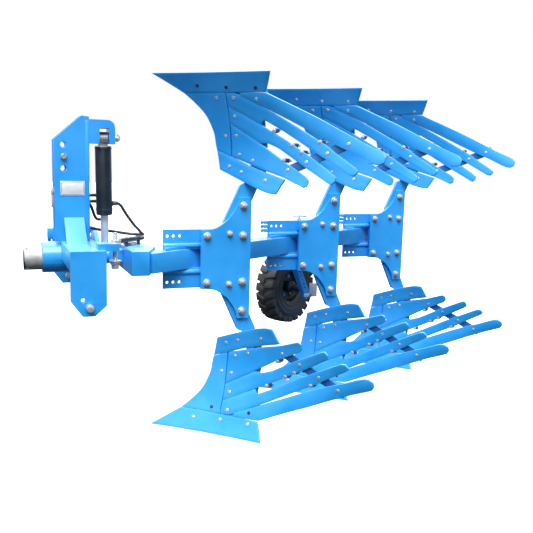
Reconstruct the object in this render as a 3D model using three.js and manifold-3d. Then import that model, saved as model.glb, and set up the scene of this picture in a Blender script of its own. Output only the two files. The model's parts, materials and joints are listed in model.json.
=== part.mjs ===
// Three-furrow reversible plough: headstock, turnover head, beam, three stations
// with an upper and a lower plough body each, and a depth wheel.
// Millimetres. +X points rearwards, +Y to the far side, +Z up. The turnover axis
// is first laid at z = 0; the finished group is moved so that the floor is z = 0.
import * as THREE from 'three';
import { mergeVertices } from 'three/addons/utils/BufferGeometryUtils.js';
import Module from 'manifold-3d';

const wasm = await Module();
wasm.setup();

// Driving dimensions
const STATION_DX = 674;
const STATION_DY = 406;
const BEAM_WIDTH = 90;
const BEAM_WALL = 8;
const BEAM_Y0 = 239;
const BEAM_REAR = 1650;
const AXIS_Y = 150;
const AXIS_Z = 10;
const RUN_GAP = 0.3;
const TURN_GAP = 0.5;
const SHEET_GAP = 1.1;
const BACK_GAP = 6;
const SEAM = 1.5;
const ROUND = 24;
const PITCH = 72;

// Plough body: one curved skin, a = run along the board, z = height below the axis
const SKIN_YAW = -54;
const SKIN_SPAN = 500;
const SKIN_MID = 600;
const SKIN_DEPTHS = [
  [4.3, -120.3, 190.6, -6.6, 4.3],
  [-10.7, 125.3, -19.0, 2.8],
  [23.9, -15.2, 2.5],
  [-13.6],
];
const SHEET_T = 9;
const EDGE_T = 4;
const STRAP_T = 8;
const STRAP_BITE = 1.5;
const FACE_T = 14;
const EDGE_Z = -842;
const SEAM_SHARE = 0.8979;

// Outlines on the skin, as shares of its span along the board and of the edge's depth
const POINT_SHARES = {
  low: [[-0.794, 1], [0.362, 1]],
  top: [[-0.556, SEAM_SHARE], [0.274, SEAM_SHARE]],
};
const SHIN_SHARES = {
  low: [[-0.556, SEAM_SHARE], [-0.486, 0.8539], [-0.45, 0.8278], [-0.418, 0.8029], [-0.388, 0.7696],
    [-0.366, 0.728], [-0.348, 0.6841], [-0.346, 0.6295], [-0.338, 0.595]],
  top: [[-0.134, SEAM_SHARE], [-0.146, 0.8551], [-0.148, 0.829], [-0.156, 0.747], [-0.168, 0.6805],
    [-0.178, 0.5618]],
};
const STRIP_SHARES = {
  low: [[-0.338, 0.595], [-0.106, 0.5463], [0.114, 0.5012], [0.448, 0.4489]],
  top: [[-0.314, 0.4869], [-0.062, 0.4323], [0.168, 0.3872], [0.282, 0.3705], [0.368, 0.3682]],
};
const SLAT_SHARES = [
  { low: [[-0.152, 0.7387], [0.166, 0.6318], [0.432, 0.5392], [0.676, 0.4667], [0.7, 0.4513]],
    top: [[-0.162, 0.5582], [0.192, 0.4941], [0.448, 0.4561], [0.656, 0.4109],
      [0.694, 0.4204]], rows: 2 },
  { low: [[-0.142, 0.8278], [0.002, 0.7862], [0.188, 0.7304], [0.412, 0.6627], [0.734, 0.5582],
      [0.94, 0.4857], [0.97, 0.4715]],
    top: [[-0.152, 0.7387], [0.166, 0.6318], [0.224, 0.639], [0.346, 0.614], [0.616, 0.5249],
      [0.902, 0.4406], [0.934, 0.4311], [0.968, 0.4513]], rows: 1 },
  { low: [[-0.132, SEAM_SHARE], [-0.032, 0.8955], [0.16, 0.8397], [0.318, 0.7957], [0.534, 0.728],
      [0.85, 0.6283], [0.986, 0.5772], [1.144, 0.5226], [1.17, 0.5107]],
    top: [[-0.142, 0.8278], [0.188, 0.7304], [0.208, 0.7601], [0.406, 0.7007], [0.718, 0.5986],
      [1.12, 0.4774], [1.154, 0.4846], [1.17, 0.5]], rows: 1 },
  { low: [[0.01, SEAM_SHARE], [0.136, SEAM_SHARE], [0.272, 0.8955], [0.392, 0.8634],
      [0.752, 0.7696], [0.952, 0.7126], [1.188, 0.6473], [1.354, 0.6069], [1.392, 0.5962],
      [1.408, 0.5772]],
    top: [[0.01, 0.88], [0.16, 0.8397], [0.366, 0.785], [0.558, 0.7328], [0.776, 0.6734],
      [0.962, 0.6259], [1.11, 0.5926], [1.29, 0.5451], [1.346, 0.5368], [1.396, 0.5511]], rows: 1 },
];
const STRAP_SHARES = [
  { low: [[0.12, 0.8729], [0.12, 0.4157]], top: [[0.21, 0.8575], [0.21, 0.399]], count: 7 },
  { low: [[0.408, 0.5119], [1.104, 0.6805]], top: [[0.44, 0.4644], [1.136, 0.633]], count: 6 },
];
const FACE_SHARES = {
  low: [[-0.28, 0.9382], [0.09, 0.9382]],
  top: [[-0.28, 0.5582], [0.09, 0.5404]],
};

// Legs and their clamp plates
const PLATE_T = 15;
const LEG_Y0 = PLATE_T + RUN_GAP;
const LEG_Y1 = 38.7;
const WEB_Y0 = LEG_Y1 + RUN_GAP;
const WEB_T = 12;
const LEG_ROOT = [
  [-92, -172], [-88, -88], [38, -88], [40, -255], [83, -350],
  [118, -440], [120, -540], [95, -640], [40, -668],
];
const LEG_FRONT_Z = [-668, -630, -590, -550, -510, -475, -440];
const LEG_NECK_Z = [-400, -360];
const LEG_NECK = [-12, -344];
const CLAMP_OUTLINE = [
  [-201, 0], [-201, 138], [-175, 139], [-150, 141], [-127, 147], [-93, 169], [-74, 184], [-58, 203],
  [-42, 226], [-30, 250], [-24, 268], [-21, 286], [34, 288], [39, 280], [41, 255], [41, 0],
];
const CHEEK_Z = [-785, -740, -690, -640, -590, -540, -490, -458];
const CHEEK_REAR = [[70, -458], [95, -560], [60, -700], [20, -785]];
const CHEEK_T = 12;
const FOOT = { x: [-105, 45], y: [41, 127.7], z: [-832, -765] };
const HEEL = { x: 260, y: [128, 140], z: [-843.6, -757] };
const HEEL_Z = [-843.6, -820, -800, -778, -757];
const HEEL_NOTCH = 18;

// Carriers welded on the beam
const CHANNEL_X = [-370, 41];
const WEB_FRONT = -190;
const WEB_TOP = 140;
const CHANNEL_TOP = 137;
const FLANGE_T = 12;
const FLANGE_PLAN = [[-370, -15], [-290, 39], [41, 39], [41, 298], [-370, 51]];
const CHANNEL_HOLES = [-350, -322, -293];
const CHANNEL_HOLE_Z = 107;
const HOLE_R = 7;
const SPACER = { x: [-198, -150], z: [84, 136] };

// Headstock
const CROSS = { x: [-812, -670], y: [-237.7, 537.7], z: [5, 85], wall: 10 };
const TUBE = { x: [-890, -669.5], r: 69, bore: 50.5 };
const SHELF = { x: [-700, -614], y: [-235, -165], z: [80, 110] };
const LINK_Y = [-262, -238];
const LINK_OUTLINE = [[-812, 85], [-812, -117], [-766, -180], [-717, -180], [-670, -138], [-670, 85]];
const LINK_PIN = { x: -740, z: -141, r: 14, y: [-300, -205] };
const LINK_HOLE = { x: -764, z: -113, r: 9 };
const MAST_Y = [100, 120];
const MAST_OUTLINE = [[-836, 85], [-686, 85], [-686, 628], [-719, 632], [-836, 527]];
const MAST_HOLES = [505, 454, 403];
const MAST_HOLE_X = -796;
const MAST_HOLE_R = 13.2;
const TOP_PIN = { r: 12.7, y: [86, 214] };
const GUSSET = { x: [-798, -712], yz: [[101, 190], [101, 165], [8, 85], [-15, 85]] };
const BRACKET = { x: [-686, -573], y: [112, 188], z: [513, 618], round: 34 };
const BRACKET_SLOT = { x: [-641, -599], top: 580 };
const TOP_EYE = { y: 150, z: 538, pin: 15, r: 28, half: 19 };

// Turnover cylinder, measured down its own line from the top eye, then leaned and tilted
const RAM_X = -620;
const RAM_FOOT_X = -603.5;
const CRANK_R = 66;
const BARREL = { r: 36.5, top: 36, end: 345, bore: 32, boreTop: 48 };
const PORT = { r: 11, at: 295.6, x: [34, 42] };
const GLAND = { depth: 18, halfX: 17, halfY: 31.4 };
const ROD = { r: 14, top: 168, eye: 27, half: 16 };
const RAM_DROP = TOP_EYE.z - AXIS_Z;
const RAM_SIDE = Math.hypot(CRANK_R, RAM_DROP);
const RAM_REACH = Math.hypot(RAM_SIDE, RAM_FOOT_X - RAM_X);
const RAM_TILT = Math.atan2(CRANK_R, RAM_DROP);
const RAM_LEAN = Math.atan2(RAM_X - RAM_FOOT_X, RAM_SIDE);

// Turnover head
const SHAFT = { x: [-966, -668.5], r: 50 };
const NUT = { x: [-962, -890.5], r: 56, slotW: 14, slotD: 12 };
const DISC = { x: [-668, -650], r: 115 };
const NECK = { x: [-652, -585], r: 36 };
const CRANK_PIN = { x: [-652, -584], r: 15 };
const TONGUE = { front: -600, half: 38, z: [-18, 38] };
const PIVOT = { x: -500, y: AXIS_Y, r: 18, z: [-62, 60], head: 30, headZ: [57.5, 70] };
const SOCKET = { front: -560, half: 46, gap: 1.2 };
const BLOCK_PLAN = [[-538, 225], [-538, -98], [-462, -98], [-400, 70], [-430, 225]];
const BLOCK_Z = [-50, 57];
const BEAM_FRONT = -545;
const BEAM_BORE_FRONT = -430;

// Depth wheel, in the beam's own frame: x along the beam, y to its far side
const WHEEL_PIVOT = { x: 626, z: 0, r: 20, y: [40, 98] };
const WHEEL_HUB = { x: 806, y: 209, z: -303 };
const ARM = { w: 52, y: [60, 88], tail: 62, head: 34, holes: 8, pitch: 30, first: 130, hole: 6 };
const AXLE = { r: 20, y: [86, 262] };
const RIM_PROFILE = [[20.5, -45], [34, -45], [34, -6], [90, -6], [90, -52], [101, -52], [101, 52], [90, 52],
  [90, 6], [34, 6], [34, 45], [20.5, 45]];
const TYRE_PROFILE = [[101.4, -50], [120, -56], [160, -59], [195, -57], [210, -48], [218, -30], [218, 30],
  [210, 48], [195, 57], [160, 59], [120, 56], [101.4, 50]];

// Hoses of the cylinder
const HOSE_R = 7;
const HOSE_SIDES = 8;
const HOSE_LONG = [
  [-568.6, 186.5, 246.1], [-560.6, 186.5, 246.3], [-550.7, 186.6, 245], [-541.6, 187, 240.9],
  [-534, 187.5, 234.6], [-528, 188.3, 226], [-511, 190, 198], [-490, 190, 168], [-470, 188, 141],
  [-456, 187, 127], [-439.1, 194.9, 107.4], [-425.5, 215.9, 97], [-426.8, 251.5, 92.5],
  [-454.1, 275.3, 92], [-495, 285, 96], [-540, 287, 103], [-584, 287, 110], [-620, 286, 115],
  [-652, 290, 122], [-678, 301, 127], [-701, 313, 126], [-722, 324, 117], [-734, 331, 106],
  [-738, 333.5, 94], [-738, 333.5, 85.3],
];
const HOSE_SHORT = [
  [-610.2, 225.7, 230.2], [-610.2, 233.6, 231.2], [-607.5, 245, 229.5], [-603, 256.5, 222],
  [-598, 265.5, 209], [-596, 270, 194], [-600, 268.5, 180], [-610, 262, 169.5], [-624, 252, 166],
  [-638, 242, 171], [-648.5, 234, 187], [-656, 230, 208], [-664, 233, 230], [-678, 243, 250],
  [-697, 262, 262], [-718, 284, 262], [-736, 306, 248], [-748, 324, 226], [-754, 336, 198],
  [-756, 342, 165], [-756, 343, 125], [-756, 343, 85.3],
];

const yaw = THREE.MathUtils.degToRad(SKIN_YAW);
const RUN = [Math.cos(yaw), Math.sin(yaw)];
const OUT = [Math.sin(yaw), -Math.cos(yaw)];

function skinDepth(a, z) {
  const run = a / SKIN_SPAN;
  const drop = (z + SKIN_MID) / SKIN_SPAN;
  const along = (row) => row.reduce((sum, depth, j) => sum + depth * drop ** j, 0);
  return SKIN_DEPTHS.reduce((sum, row, i) => sum + along(row) * run ** i, 0);
}

function skinPoint(a, z, off = 0) {
  const step = SKIN_SPAN / 1000;
  const at = (u, w) => {
    const d = skinDepth(u, w);
    return new THREE.Vector3(u * RUN[0] + d * OUT[0], u * RUN[1] + d * OUT[1], w);
  };
  const p = at(a, z);
  if (off === 0) return p;
  const n = at(a + step, z).sub(p).cross(at(a, z + step).sub(p)).normalize();
  if (n.x * OUT[0] + n.y * OUT[1] < 0) n.negate();
  return p.addScaledVector(n, off);
}

// x of the skin, set back by off, where it crosses the plane y at height z
function skinX(y, z, off) {
  let lo = -SKIN_SPAN;
  let hi = SKIN_SPAN;
  for (let i = 0; i < 50; i += 1) {
    const mid = (lo + hi) / 2;
    if (skinPoint(mid, z, off).y > y) lo = mid;
    else hi = mid;
  }
  return skinPoint((lo + hi) / 2, z, off).x;
}

function resample(line, count) {
  const seg = line.slice(1).map((p, i) => Math.hypot(p[0] - line[i][0], p[1] - line[i][1]));
  const total = seg.reduce((s, v) => s + v, 0);
  const out = [];
  for (let k = 0; k < count; k += 1) {
    let t = total * k / (count - 1);
    let i = 0;
    while (i < seg.length - 1 && t > seg[i]) {
      t -= seg[i];
      i += 1;
    }
    const f = Math.min(1, t / seg[i]);
    const [p, q] = [line[i], line[i + 1]];
    out.push([p[0] + f * (q[0] - p[0]), p[1] + f * (q[1] - p[1])]);
  }
  return out;
}

function toward(p, q, gap) {
  const len = Math.hypot(q[0] - p[0], q[1] - p[1]);
  return [p[0] + gap * (q[0] - p[0]) / len, p[1] + gap * (q[1] - p[1]) / len];
}

// Joins and cuts work on closed solids; a geometry is turned into one on the way in
function solid(part) {
  if (!part.isBufferGeometry) return part;
  part.deleteAttribute('normal');
  part.deleteAttribute('uv');
  const merged = mergeVertices(part);
  const at = merged.attributes.position;
  const index = Uint32Array.from(merged.index.array);
  const corner = (k) => new THREE.Vector3().fromBufferAttribute(at, index[k]);
  let volume = 0;
  for (let t = 0; t < index.length; t += 3) volume += corner(t).dot(corner(t + 1).cross(corner(t + 2)));
  if (volume < 0) {
    for (let t = 0; t < index.length; t += 3) [index[t + 1], index[t + 2]] = [index[t + 2], index[t + 1]];
  }
  const vertProperties = Float32Array.from(at.array);
  return new wasm.Manifold(new wasm.Mesh({ numProp: 3, vertProperties, triVerts: index }));
}
const join = (...parts) => parts.map(solid).reduce((sum, part) => sum.add(part));
const cut = (base, ...tools) => tools.map(solid).reduce((rest, tool) => rest.subtract(tool), solid(base));

function toGeometry(part) {
  const mesh = part.getMesh();
  const geometry = new THREE.BufferGeometry();
  geometry.setAttribute('position', new THREE.BufferAttribute(Float32Array.from(mesh.vertProperties), 3));
  geometry.setIndex(new THREE.BufferAttribute(Uint32Array.from(mesh.triVerts), 1));
  geometry.computeVertexNormals();
  return geometry;
}

// Mirror image through the plane z = 0, with its faces turned out again
function mirrored(geometry) {
  const copy = geometry.clone().scale(1, 1, -1);
  const index = copy.index.array;
  for (let t = 0; t < index.length; t += 3) [index[t + 1], index[t + 2]] = [index[t + 2], index[t + 1]];
  copy.computeVertexNormals();
  return copy;
}

const middle = (span) => (span[0] + span[1]) / 2;
const size = (span) => span[1] - span[0];
const nudge = (span, by) => [span[0] - by, span[1] + by];
const far = (span) => [2 * AXIS_Y - span[1], 2 * AXIS_Y - span[0]];
const QUARTER = Math.PI / 2;
const box = (x, y, z) => new THREE.BoxGeometry(size(x), size(y), size(z))
  .translate(middle(x), middle(y), middle(z));
const outline = (poly) => new THREE.Shape(poly.map(([u, v]) => new THREE.Vector2(u, v)));
const prism = (poly, span) => new THREE.ExtrudeGeometry(outline(poly), {
  depth: size(span), bevelEnabled: false,
});
const slabX = (poly, x) => prism(poly, x).rotateX(QUARTER).rotateZ(QUARTER).translate(x[0], 0, 0);
const slabY = (poly, y) => prism(poly, y).rotateX(QUARTER).translate(0, y[1], 0);
const slabZ = (poly, z) => prism(poly, z).translate(0, 0, z[0]);
const rod = (r, span, n) => new THREE.CylinderGeometry(r, r, size(span), n);
const rodX = (r, x, y, z, n = ROUND) => rod(r, x, n).rotateZ(-QUARTER).translate(middle(x), y, z);
const rodY = (r, y, x, z, n = ROUND) => rod(r, y, n).translate(x, middle(y), z);
const rodZ = (r, z, x, y, n = ROUND) => rod(r, z, n).rotateX(QUARTER).translate(x, y, middle(z));
const loop = (profile) => [...profile, profile[0]].map(([r, h]) => new THREE.Vector2(r, h));
const ring = (profile, n) => new THREE.LatheGeometry(loop(profile), n);

const onSkin = (line) => line.map(([u, v]) => [u * SKIN_SPAN, v * EDGE_Z]);

// Closed solid between two offsets of the skin, over the strip between two outlines
function skinSheet(shares, count, rows, front, back, { seam = SEAM, edgeBack = back, tail } = {}) {
  const [low, top] = [shares.low, shares.top].map(onSkin);
  let a = [...resample(low.slice(0, tail), count + (tail ? -1 : 0)), ...(tail ? [low.at(-1)] : [])];
  let b = [...resample(top.slice(0, tail), count + (tail ? -1 : 0)), ...(tail ? [top.at(-1)] : [])];
  const last = count - 1;
  const drawIn = (line) => [toward(line[0], line[1], seam), ...line.slice(1, last),
    toward(line[last], line[last - 1], seam)];
  const a0 = drawIn(a);
  const b0 = drawIn(b);
  a = a0.map((p, i) => toward(p, b0[i], seam));
  b = b0.map((p, i) => toward(p, a0[i], seam));
  const verts = [];
  const id = (side, i, j) => (side * count + i) * (rows + 1) + j;
  for (let side = 0; side < 2; side += 1) {
    for (let i = 0; i < count; i += 1) {
      for (let j = 0; j <= rows; j += 1) {
        const t = j / rows;
        const off = side === 0 ? front : edgeBack + (back - edgeBack) * Math.min(1, t * 2);
        const p = skinPoint(a[i][0] + t * (b[i][0] - a[i][0]), a[i][1] + t * (b[i][1] - a[i][1]), off);
        verts.push(p.x, p.y, p.z);
      }
    }
  }
  const tris = [];
  const quad = (p, q, r, s) => tris.push(p, q, r, p, r, s);
  for (let i = 0; i < last; i += 1) {
    for (let j = 0; j < rows; j += 1) {
      quad(id(0, i, j), id(0, i + 1, j), id(0, i + 1, j + 1), id(0, i, j + 1));
      quad(id(1, i, j), id(1, i, j + 1), id(1, i + 1, j + 1), id(1, i + 1, j));
    }
    quad(id(0, i, 0), id(1, i, 0), id(1, i + 1, 0), id(0, i + 1, 0));
    quad(id(0, i, rows), id(0, i + 1, rows), id(1, i + 1, rows), id(1, i, rows));
  }
  for (let j = 0; j < rows; j += 1) {
    quad(id(0, 0, j), id(0, 0, j + 1), id(1, 0, j + 1), id(1, 0, j));
    quad(id(0, last, j), id(1, last, j), id(1, last, j + 1), id(0, last, j + 1));
  }
  const sheet = new THREE.BufferGeometry();
  sheet.setAttribute('position', new THREE.Float32BufferAttribute(verts, 3));
  sheet.setIndex(tris);
  return solid(sheet);
}

const segments = (line) => line.slice(1).map((p, i) => Math.hypot(p[0] - line[i][0], p[1] - line[i][1]));
const lineLength = (line) => segments(line).reduce((sum, part) => sum + part, 0);
const columns = (line) => Math.max(2, Math.ceil(lineLength(onSkin(line)) / PITCH) + 1);

const PAINT = { color: 0x2f96e6, roughness: 0.34, metalness: 0.1 };
const STEEL = { color: 0xb4b6b4, roughness: 0.4, metalness: 0.9 };
const CHROME = { color: 0xdfe3e6, roughness: 0.12, metalness: 1.0 };
const BLACK = { color: 0x17181a, roughness: 0.45, metalness: 0.2 };
const RUBBER = { color: 0x222324, roughness: 0.85, metalness: 0.0 };

const plough = new THREE.Group();
function piece(parent, name, part, look) {
  const geometry = part.isBufferGeometry ? part : toGeometry(part);
  const mesh = new THREE.Mesh(geometry, new THREE.MeshStandardMaterial(look));
  mesh.name = name;
  parent.add(mesh);
}
function place(parent, x, y, z) {
  const group = new THREE.Group();
  group.position.set(x, y, z);
  parent.add(group);
  return group;
}

// Plough body: built once below the axis
const share = skinSheet(POINT_SHARES, columns(POINT_SHARES.low), 2, 0, -SHEET_T, { edgeBack: -EDGE_T });
const shin = skinSheet(SHIN_SHARES, SHIN_SHARES.low.length, 2, 0, -SHEET_T);
const strapSpan = [-(SHEET_T - STRAP_BITE), -(SHEET_T + STRAP_T)];
const board = join(
  skinSheet(STRIP_SHARES, columns(STRIP_SHARES.low), 1, 0, -SHEET_T),
  ...SLAT_SHARES.map((slat) => (
    skinSheet(slat, columns(slat.low) + 1, slat.rows, 0, -SHEET_T, { tail: -1 }))),
  ...STRAP_SHARES.map((strap) => skinSheet(strap, strap.count, 1, ...strapSpan, { seam: 0 })),
);

const faceFront = -(SHEET_T + SHEET_GAP);
const faceBack = faceFront - FACE_T;
const faceMid = (faceFront + faceBack) / 2;
const nearCheek = [LEG_Y0 - RUN_GAP - CHEEK_T, LEG_Y0 - RUN_GAP];
const farCheek = [LEG_Y1 + RUN_GAP, LEG_Y1 + RUN_GAP + CHEEK_T];
const seatZ = [CHEEK_Z[0], LEG_FRONT_Z[0] - RUN_GAP];
const cheek = (y) => slabY([...CHEEK_Z.map((z) => [skinX(middle(y), z, faceMid), z]), ...CHEEK_REAR], y);
const frog = join(
  skinSheet(FACE_SHARES, 4, 6, faceFront, faceBack, { seam: 0 }),
  cheek(nearCheek),
  cheek(farCheek),
  box([skinX(nearCheek[0], seatZ[1], faceMid), CHEEK_REAR[3][0]], [nearCheek[0], farCheek[1]], seatZ),
  box(FOOT.x, FOOT.y, FOOT.z),
);

const legFront = LEG_FRONT_Z.map((z) => [skinX(LEG_Y0, z, faceBack - BACK_GAP), z]);
const legNeck = LEG_NECK_Z.map((z) => [skinX(LEG_Y0, z, -(SHEET_T + BACK_GAP)), z]);
const leg = solid(slabY([...LEG_ROOT, ...legFront, ...legNeck, LEG_NECK], [LEG_Y0, LEG_Y1]));

const heelFront = HEEL_Z.map((z) => [skinX(HEEL.y[0], z, -(SHEET_T + BACK_GAP)), z]);
const landside = solid(slabY([...heelFront, [HEEL.x, HEEL.z[1] - HEEL_NOTCH], [HEEL.x, HEEL.z[0]]], HEEL.y));

// Clamp plate and the channels that carry it on the beam
const lowerClamp = CLAMP_OUTLINE.slice(1, -1).reverse().map(([x, z]) => [x, -z]);
const clampPlate = solid(slabY([...CLAMP_OUTLINE, ...lowerClamp], [0, PLATE_T]));
const webY = [WEB_Y0, WEB_Y0 + WEB_T];
const halfBeam = BEAM_WIDTH / 2;
const sides = [1, -1].map((side) => {
  const up = (a, b) => (side > 0 ? [a, b] : [-b, -a]);
  const rail = join(
    box([CHANNEL_X[0], WEB_FRONT + WEB_T], webY, up(halfBeam, CHANNEL_TOP)),
    slabZ(FLANGE_PLAN, up(halfBeam, halfBeam + FLANGE_T)),
    box(SPACER.x, [LEG_Y0, webY[0] + WEB_T / 2], up(...SPACER.z)),
  );
  const holeZ = side * CHANNEL_HOLE_Z;
  return cut(rail, ...CHANNEL_HOLES.map((x) => rodY(HOLE_R, nudge(webY, WEB_T), x, holeZ, 12)));
});
const carrier = join(box([WEB_FRONT, CHANNEL_X[1]], webY, [-WEB_TOP, WEB_TOP]), ...sides);

// Stations: the lower set, and its mirror image above the axis
const SET = { leg, frog, share, shin, mouldboard: board, landside };
['front', 'middle', 'rear'].forEach((station, k) => {
  const at = place(plough, k * STATION_DX, k * STATION_DY, 0);
  piece(at, `${station}_clamp_plate`, clampPlate, PAINT);
  piece(at, `${station}_beam_carrier`, carrier, PAINT);
  Object.entries(SET).forEach(([name, part]) => {
    piece(at, `${station}_lower_${name}`, part, PAINT);
    piece(at, `${station}_upper_${name}`, mirrored(toGeometry(part)), PAINT);
  });
});

// Main beam with its welded head block; the beam's own frame runs along it
const beamYaw = Math.atan2(STATION_DY, STATION_DX);
const alongBeam = (geometry) => geometry.rotateZ(beamYaw).translate(0, BEAM_Y0, 0);
const half = [-halfBeam, halfBeam];
const inner = nudge(half, -BEAM_WALL);
const socketZ = nudge(TONGUE.z, SOCKET.gap);
const pivotBore = rodZ(PIVOT.r + TURN_GAP, nudge(PIVOT.z, BEAM_WALL), PIVOT.x, PIVOT.y);
const mainBeam = cut(
  join(
    cut(alongBeam(box([BEAM_FRONT, BEAM_REAR], half, half)),
      alongBeam(box([BEAM_BORE_FRONT, BEAM_REAR + BEAM_WALL], inner, inner))),
    alongBeam(rodY(WHEEL_PIVOT.r, WHEEL_PIVOT.y, WHEEL_PIVOT.x, WHEEL_PIVOT.z)),
    slabZ(BLOCK_PLAN, BLOCK_Z),
  ),
  box([SOCKET.front, PIVOT.x], [PIVOT.y - SOCKET.half, PIVOT.y + SOCKET.half], socketZ),
  rodZ(TONGUE.half + BEAM_WALL, socketZ, PIVOT.x, PIVOT.y),
  pivotBore,
);
piece(plough, 'main_beam', mainBeam, PAINT);

// Turnover head: crank disc, neck and the tongue that enters the beam's socket
const swingHead = cut(
  join(
    rodX(DISC.r, DISC.x, AXIS_Y, AXIS_Z, 36),
    rodX(CRANK_PIN.r, CRANK_PIN.x, AXIS_Y + CRANK_R, AXIS_Z, 20),
    rodX(NECK.r, NECK.x, AXIS_Y, AXIS_Z),
    box([TONGUE.front, PIVOT.x], [PIVOT.y - TONGUE.half, PIVOT.y + TONGUE.half], TONGUE.z),
    rodZ(TONGUE.half, TONGUE.z, PIVOT.x, PIVOT.y),
  ),
  pivotBore,
);
piece(plough, 'swing_head', swingHead, PAINT);
const pivotPin = join(
  rodZ(PIVOT.r, PIVOT.z, PIVOT.x, PIVOT.y),
  rodZ(PIVOT.head, PIVOT.headZ, PIVOT.x, PIVOT.y),
);
piece(plough, 'beam_pivot_pin', pivotPin, STEEL);
const onAxis = place(plough, 0, AXIS_Y, AXIS_Z);
piece(onAxis, 'turnover_shaft', solid(rodX(SHAFT.r, SHAFT.x, 0, 0, 36)), STEEL);
const notch = (turn) => box(
  nudge([NUT.x[0], NUT.x[0]], NUT.slotD), nudge([0, 0], NUT.r * 2), nudge([0, 0], NUT.slotW / 2),
).rotateX(turn);
const lockNut = cut(
  rodX(NUT.r, NUT.x, 0, 0, 36),
  rodX(SHAFT.r + RUN_GAP, nudge(NUT.x, NUT.slotD), 0, 0, 36),
  notch(QUARTER / 2),
  notch(-QUARTER / 2),
);
piece(onAxis, 'shaft_lock_nut', lockNut, STEEL);

// Headstock
const wall = -CROSS.wall;
const headstock = cut(
  join(
    cut(
      box(CROSS.x, CROSS.y, CROSS.z),
      box(nudge(CROSS.x, wall), nudge(CROSS.y, CROSS.wall), nudge(CROSS.z, wall)),
    ),
    rodX(TUBE.r, TUBE.x, AXIS_Y, AXIS_Z, 36),
    box(SHELF.x, SHELF.y, SHELF.z),
    box(SHELF.x, far(SHELF.y), SHELF.z),
  ),
  rodX(TUBE.bore, nudge(TUBE.x, CROSS.wall), AXIS_Y, AXIS_Z, 36),
);
piece(plough, 'headstock_crossbeam', headstock, PAINT);
const linkPlate = (toSide) => join(
  cut(
    slabY(LINK_OUTLINE, toSide(LINK_Y)),
    rodY(LINK_HOLE.r, nudge(toSide(LINK_Y), CROSS.wall), LINK_HOLE.x, LINK_HOLE.z, 12),
  ),
  rodY(LINK_PIN.r, toSide(LINK_PIN.y), LINK_PIN.x, LINK_PIN.z),
);
const near = (span) => span;
piece(plough, 'near_link_plate', linkPlate(near), PAINT);
piece(plough, 'far_link_plate', linkPlate(far), PAINT);
const mastPlate = (toSide) => join(
  cut(
    slabY(MAST_OUTLINE, toSide(MAST_Y)),
    ...MAST_HOLES.map((z) => rodY(MAST_HOLE_R, nudge(toSide(MAST_Y), CROSS.wall), MAST_HOLE_X, z, 20)),
  ),
  slabX(GUSSET.yz.map(([y, z]) => [toSide([y, y])[0], z]), GUSSET.x),
);
const cornerX = BRACKET.x[1] - BRACKET.round;
const cornerZ = BRACKET.z[1] - BRACKET.round;
const bracketRound = [0, 1, 2, 3, 4].map((i) => {
  const turn = i * QUARTER / 4;
  return [cornerX + BRACKET.round * Math.cos(turn), cornerZ + BRACKET.round * Math.sin(turn)];
});
const bracketRoot = BRACKET.x[0] - MAST_HOLE_R;
const bracketOutline = [
  [bracketRoot, BRACKET.z[0]],
  [BRACKET.x[1], BRACKET.z[0]],
  ...bracketRound,
  [bracketRoot, BRACKET.z[1]],
];
const slotZ = [BRACKET.z[0] - CROSS.wall, BRACKET_SLOT.top];
const bracketY = [MAST_Y[1], BRACKET.y[1] + CROSS.wall];
const bracket = join(
  cut(
    slabY(bracketOutline, [MAST_Y[0], BRACKET.y[1]]),
    box([bracketRoot * 2 - BRACKET.x[0], BRACKET.x[0]], bracketY, nudge(BRACKET.z, CROSS.wall)),
    box(BRACKET_SLOT.x, [MAST_Y[0] - CROSS.wall, bracketY[1]], slotZ),
  ),
  rodX(TOP_EYE.pin, nudge(BRACKET_SLOT.x, CROSS.wall), TOP_EYE.y, TOP_EYE.z, 20),
);
piece(plough, 'near_mast_plate', join(mastPlate(near), bracket), PAINT);
piece(plough, 'far_mast_plate', mastPlate(far), PAINT);
piece(plough, 'top_link_pin', solid(rodY(TOP_PIN.r, TOP_PIN.y, MAST_HOLE_X, MAST_HOLES[1])), STEEL);

// Turnover cylinder: both halves hang from the top eye, tilted, and lean from it to the crank pin
const ram = place(plough, RAM_X, TOP_EYE.y, TOP_EYE.z);
ram.rotation.x = RAM_TILT;
const lean = (geometry) => geometry.rotateY(RAM_LEAN);
const eyeX = [-TOP_EYE.half, TOP_EYE.half];
const glandTop = -BARREL.end + GLAND.depth;
const glandSlot = box(
  [-GLAND.halfX, GLAND.halfX],
  [-GLAND.halfY, GLAND.halfY],
  nudge([-BARREL.end, glandTop], GLAND.depth / 2),
);
const barrel = cut(
  join(
    cut(
      join(
        lean(rodZ(BARREL.r, [-BARREL.end, -BARREL.top], 0, 0, 32)),
        lean(rodX(PORT.r, PORT.x, 0, -PORT.at, 12)),
      ),
      lean(rodZ(BARREL.bore, [glandTop, -BARREL.boreTop], 0, 0, 32)),
      lean(glandSlot),
    ),
    rodX(TOP_EYE.r, eyeX, 0, 0),
    box(eyeX, eyeX, [-BARREL.boreTop, 0]),
  ),
  rodX(TOP_EYE.pin + TURN_GAP, nudge(eyeX, TOP_EYE.half), 0, 0, 20),
);
piece(ram, 'cylinder_barrel', barrel, BLACK);
const footX = [RAM_FOOT_X - RAM_X - ROD.half, RAM_FOOT_X - RAM_X + ROD.half];
const ramRod = cut(
  join(lean(rodZ(ROD.r, [-RAM_REACH, -ROD.top], 0, 0)), rodX(ROD.eye, footX, 0, -RAM_SIDE)),
  rodX(CRANK_PIN.r + TURN_GAP, nudge(footX, ROD.half), 0, -RAM_SIDE, 20),
);
piece(ram, 'cylinder_rod', ramRod, CHROME);

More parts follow.
